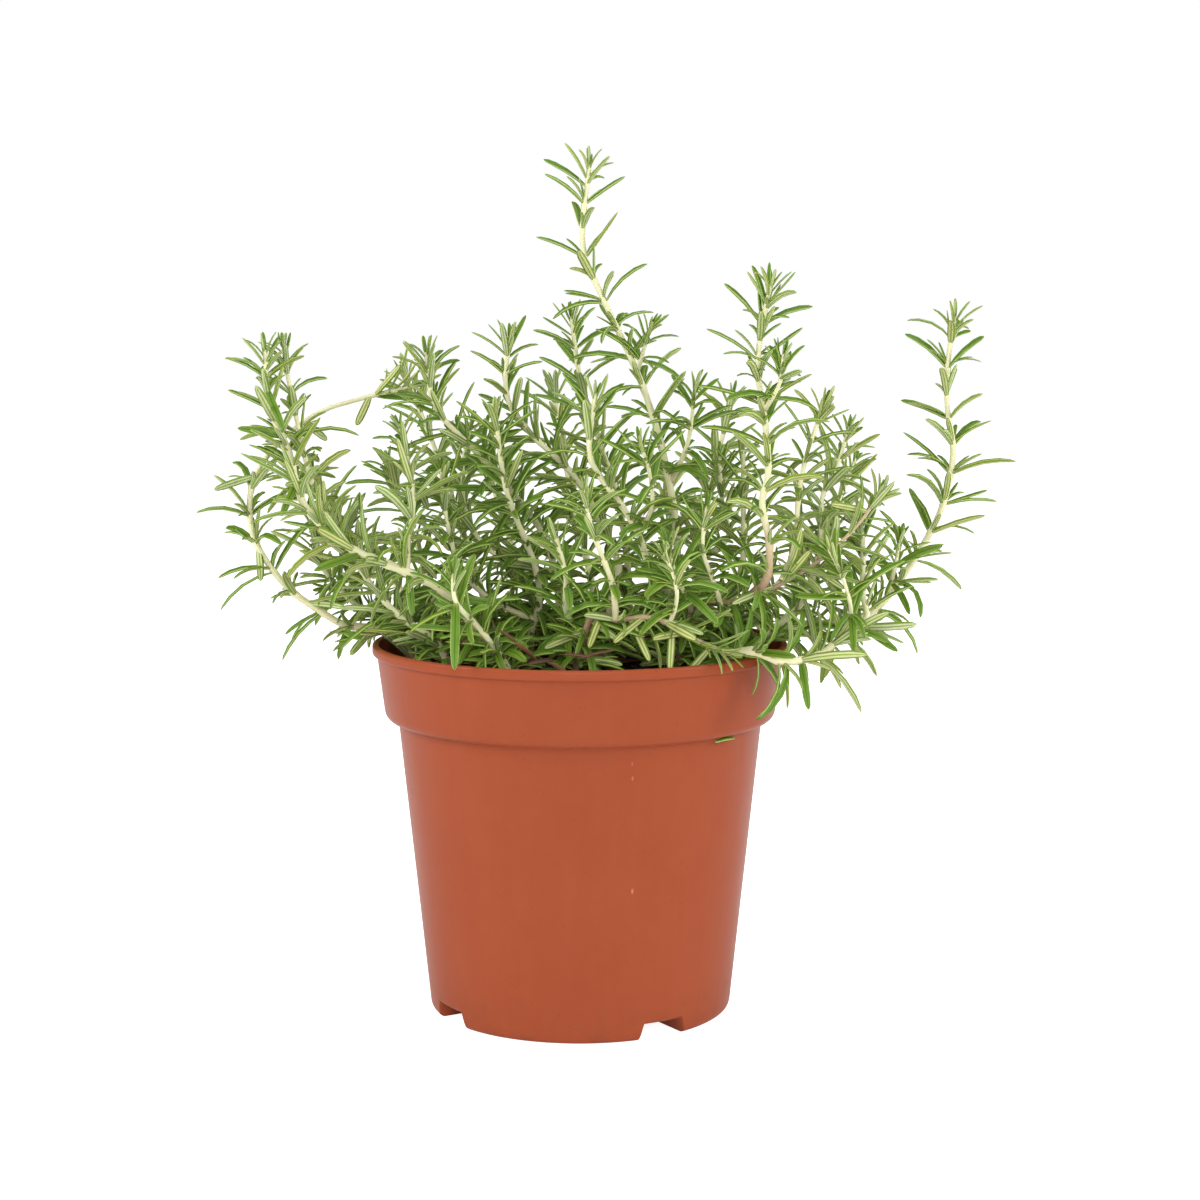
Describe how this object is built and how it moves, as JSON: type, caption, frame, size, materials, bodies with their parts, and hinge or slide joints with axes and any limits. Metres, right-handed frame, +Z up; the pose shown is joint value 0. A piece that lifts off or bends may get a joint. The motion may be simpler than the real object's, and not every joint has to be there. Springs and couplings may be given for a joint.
{
  "type": "potted rosemary plant",
  "caption": "Trailing rosemary with upright and arching leafy stems, rooted in potting soil in a round tapered plastic nursery pot with a banded rim",
  "frame": {"origin": "the centre of the pot's flat foot, on the surface that the pot stands on", "axes": "+Z is up along the pot's axis; -Y is the front; +X is to the right seen from the front"},
  "size_m": [0.2421, 0.168, 0.2711],
  "materials": {
    "pot_plastic": "terracotta-coloured moulded plastic with a satin sheen",
    "potting_soil": "dark peat and bark crumbs",
    "shoot_green": "green narrow leaves on a pale felted stem that turns brown and woody at its foot",
    "leaf_green": "green leaf with a pale felted underside",
    "leaf_dead": "dry purple-brown leaf"
  },
  "bodies": {
    "root": {"arching_branch": "shoot_green", "back_a": "shoot_green", "back_b": "shoot_green", "back_c": "shoot_green", "back_d": "shoot_green", "back_e": "shoot_green", "back_f": "shoot_green", "back_g": "shoot_green", "back_left": "shoot_green", "behind_right": "shoot_green", "caught_leaf": "leaf_green", "centre_back": "shoot_green", "centre_front": "shoot_green", "centre_left": "shoot_green", "centre_spur": "shoot_green", "centre_tan": "shoot_green", "dead_leaf_a": "leaf_dead", "dead_leaf_b": "leaf_dead", "dead_leaf_c": "leaf_dead", "far_right": "shoot_green", "far_right_spur": "shoot_green", "front_rosette": "shoot_green", "front_spur_a": "shoot_green", "front_spur_b": "shoot_green", "front_spur_c": "shoot_green", "leader": "shoot_green", "leader_spur": "shoot_green", "leader_spur_low": "shoot_green", "left_bough": "shoot_green", "left_low_spur": "shoot_green", "left_mid": "shoot_green", "left_tip_a": "shoot_green", "low_front_centre": "shoot_green", "low_front_left": "shoot_green", "low_left_a": "shoot_green", "low_left_b": "shoot_green", "low_right": "shoot_green", "mid_left": "shoot_green", "mid_right": "shoot_green", "pot": "pot_plastic", "potting_soil": "potting_soil", "right_bough": "shoot_green", "right_centre": "shoot_green", "right_centre_spur": "shoot_green", "right_low_spur": "shoot_green", "right_mid": "shoot_green", "right_upper": "shoot_green", "upper_left": "shoot_green", "woody_front": "shoot_green", "woody_right": "shoot_green"}
  },
  "joints": []
}
